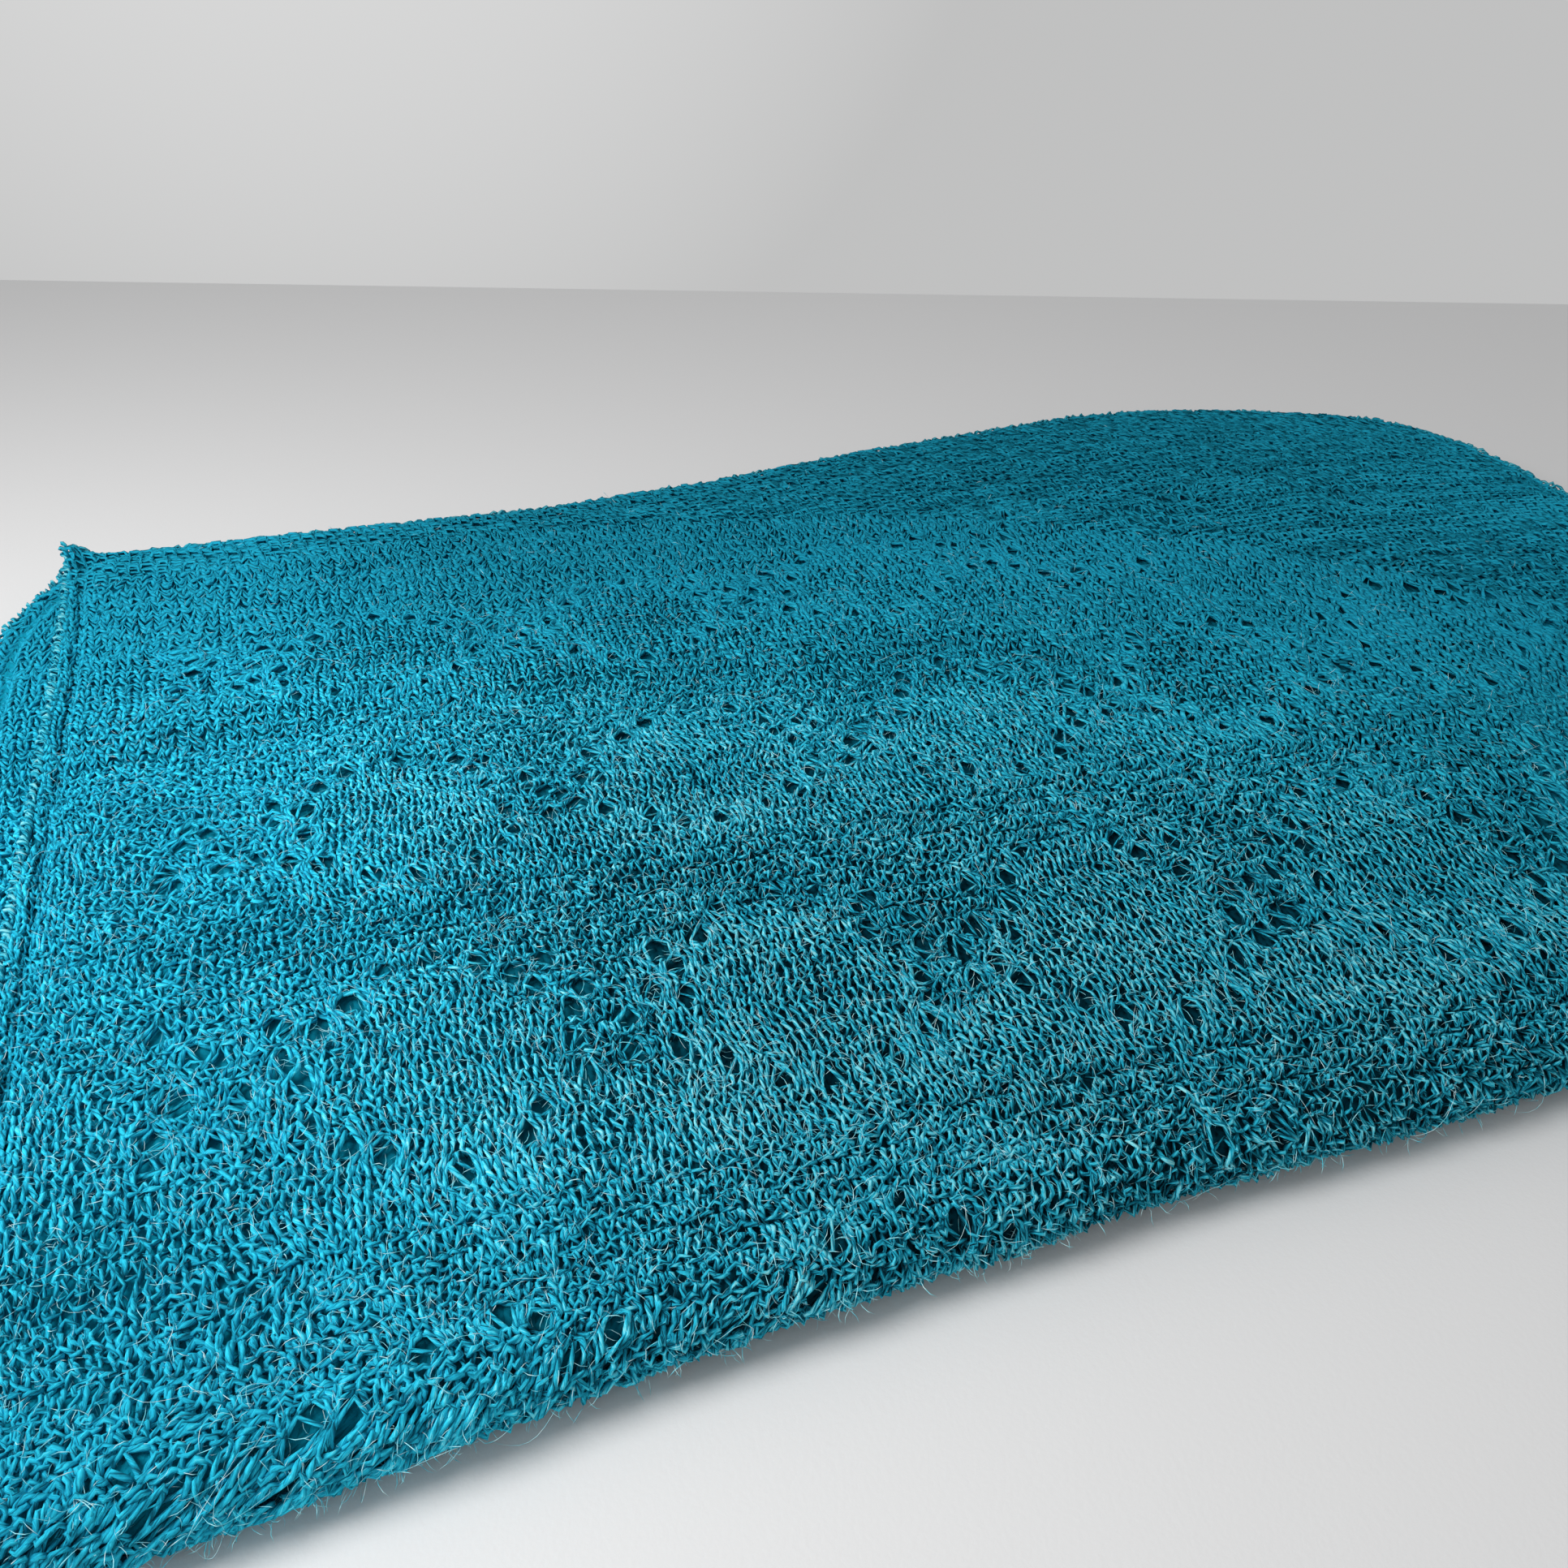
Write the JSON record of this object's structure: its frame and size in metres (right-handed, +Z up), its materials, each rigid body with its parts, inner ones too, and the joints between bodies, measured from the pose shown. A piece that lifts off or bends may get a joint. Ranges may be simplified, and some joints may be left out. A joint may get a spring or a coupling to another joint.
{
  "type": "scarf",
  "caption": "Wide lace-knit wool scarf folded in four and lying flat, with a rounded front fold and one back corner rounded.",
  "frame": {"origin": "middle of the folded scarf's footprint, on the surface that it lies on", "axes": "+X along the knitted rows, towards the side with the rounded corner; +Y from the front fold to the back; +Z up"},
  "size_m": [0.5908, 0.3886, 0.0212],
  "materials": {
    "upper_stretch": "matt, hairy knitted wool",
    "second_stretch": "matt, hairy knitted wool",
    "under_stretch": "matt, hairy knitted wool",
    "hidden_layers": "matt, hairy knitted wool",
    "selvage_left": "matt, knitted edge",
    "selvage_right": "matt, knitted edge",
    "second_selvage": "matt, knitted edge",
    "bound_off_end": "matt, bound-off edge"
  },
  "bodies": {
    "root": {"upper_stretch": "upper_stretch", "second_stretch": "second_stretch", "under_stretch": "under_stretch", "hidden_layers": "hidden_layers", "selvage_left": "selvage_left", "selvage_right": "selvage_right", "second_selvage": "second_selvage", "bound_off_end": "bound_off_end"}
  },
  "joints": []
}
